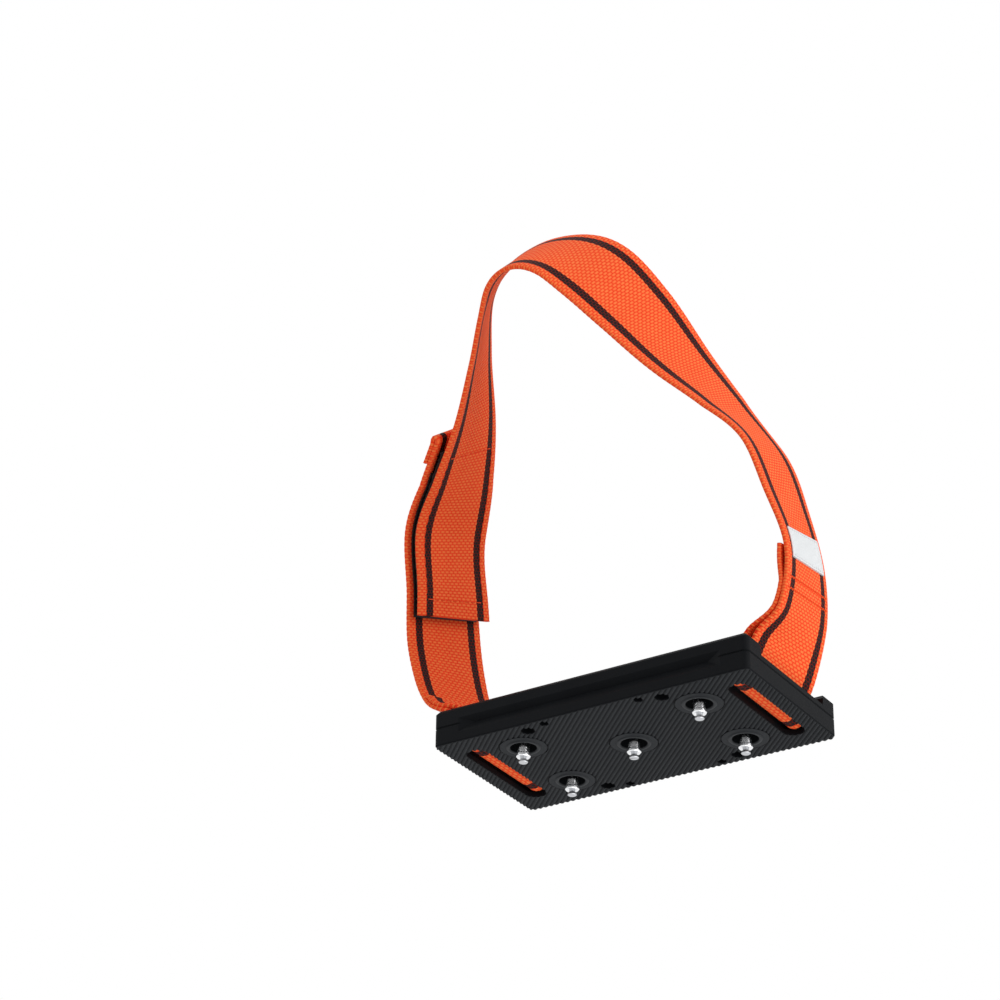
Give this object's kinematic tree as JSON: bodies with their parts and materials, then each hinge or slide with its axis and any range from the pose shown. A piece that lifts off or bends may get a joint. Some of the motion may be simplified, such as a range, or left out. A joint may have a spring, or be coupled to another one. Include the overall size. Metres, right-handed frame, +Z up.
{
  "type": "mid-sole ice cleat",
  "caption": "Studded rubber traction pad worn under the arch, with carbide-tipped studs riveted to a steel insert and an elastic webbing strap that closes over the instep.",
  "frame": {"origin": "centre of the pad's flat upper face, which rests against the sole", "axes": "+Z up from the pad into the sole, +Y along the foot towards the heel, +X across the foot to the label side"},
  "size_m": [0.0947, 0.0729, 0.1121],
  "materials": {
    "sole_rubber": "moulded, fine ridged tread",
    "top_rubber": "moulded, matt",
    "plate_steel": "pressed, bare",
    "stud_steel": "bright plated",
    "carbide": "ground",
    "bar_steel": "drawn wire",
    "orange_webbing": "elastic weave with two black stripes",
    "label_cloth": "woven, blank",
    "thread": "close zigzag stitches",
    "pile": "looped pile",
    "hooks": "moulded hooks"
  },
  "bodies": {
    "pad": {"outsole": "sole_rubber", "top_pad": "top_rubber", "insert_plate": "plate_steel", "stud_toe_left": "stud_steel", "stud_toe_right": "stud_steel", "stud_heel_left": "stud_steel", "stud_heel_right": "stud_steel", "stud_centre": "stud_steel", "tip_toe_left": "carbide", "tip_toe_right": "carbide", "tip_heel_left": "carbide", "tip_heel_right": "carbide", "tip_centre": "carbide", "right_bar": "bar_steel", "left_bar": "bar_steel"},
    "instep_strap": {"instep_webbing": "orange_webbing", "label": "label_cloth", "pile_patch": "pile"},
    "closure_strap": {"closure_webbing": "orange_webbing", "closure_tack": "thread"},
    "closure_flap": {"flap_webbing": "orange_webbing", "hook_patch": "hooks"}
  },
  "joints": [
    {"name": "instep_strap_swing", "type": "hinge", "parent": "pad", "child": "instep_strap", "pos_m": [0.0319, 0, -0.00495], "axis": [0, 1, 0], "range_deg": [0, 25]},
    {"name": "closure_strap_swing", "type": "hinge", "parent": "pad", "child": "closure_strap", "pos_m": [-0.0319, 0, -0.00495], "axis": [0, -1, 0], "range_deg": [0, 25]},
    {"name": "closure_flap_peel", "type": "hinge", "parent": "closure_strap", "child": "closure_flap", "pos_m": [-0.04665, -0.00281, 0.02283], "axis": [-0.135, -0.9561, -0.2601], "range_deg": [0, 120]}
  ]
}
